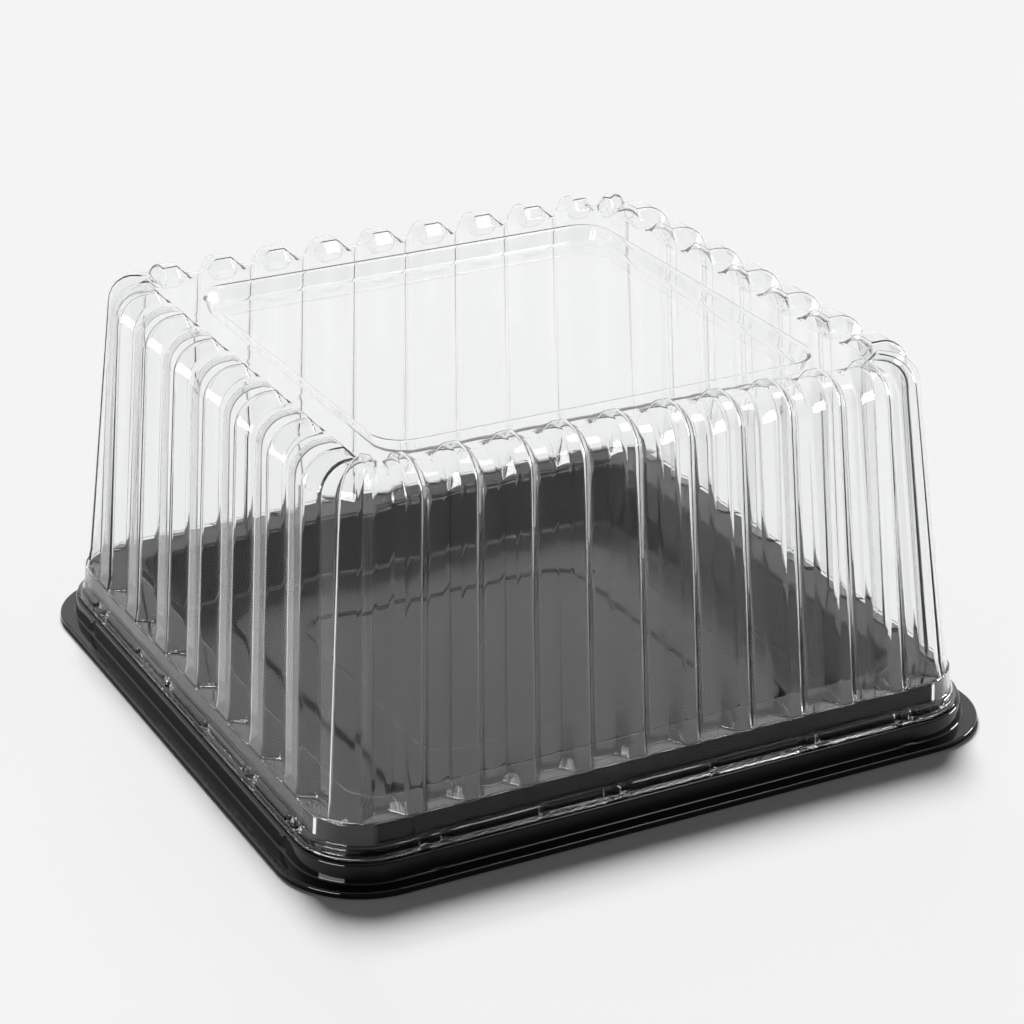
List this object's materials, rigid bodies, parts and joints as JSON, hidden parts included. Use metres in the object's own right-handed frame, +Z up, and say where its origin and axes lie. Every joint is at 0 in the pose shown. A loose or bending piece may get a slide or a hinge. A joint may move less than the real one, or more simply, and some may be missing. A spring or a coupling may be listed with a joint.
{
  "type": "cake box with lift-off dome",
  "caption": "Square stepped black tray with a raised floor, under a clear fluted dome that snaps over the tray's rim and lifts off.",
  "frame": {"origin": "centre of the tray's footprint, on the surface that it stands on", "axes": "+Z up through the middle of the dome; -Y faces the front wall, which has the most ribs; +X to the right of the front wall"},
  "size_m": [0.261, 0.261, 0.134],
  "materials": {
    "black_sheet": "glossy black thermoformed polyester sheet",
    "clear_sheet": "clear glossy thermoformed polyester sheet"
  },
  "bodies": {
    "tray": {"base_tray": "black_sheet"},
    "lid": {"dome_lid": "clear_sheet"}
  },
  "joints": [
    {"name": "lid_lift", "type": "slide", "parent": "tray", "child": "lid", "axis": [0, 0, 1], "range_m": [0, 0.15]}
  ]
}
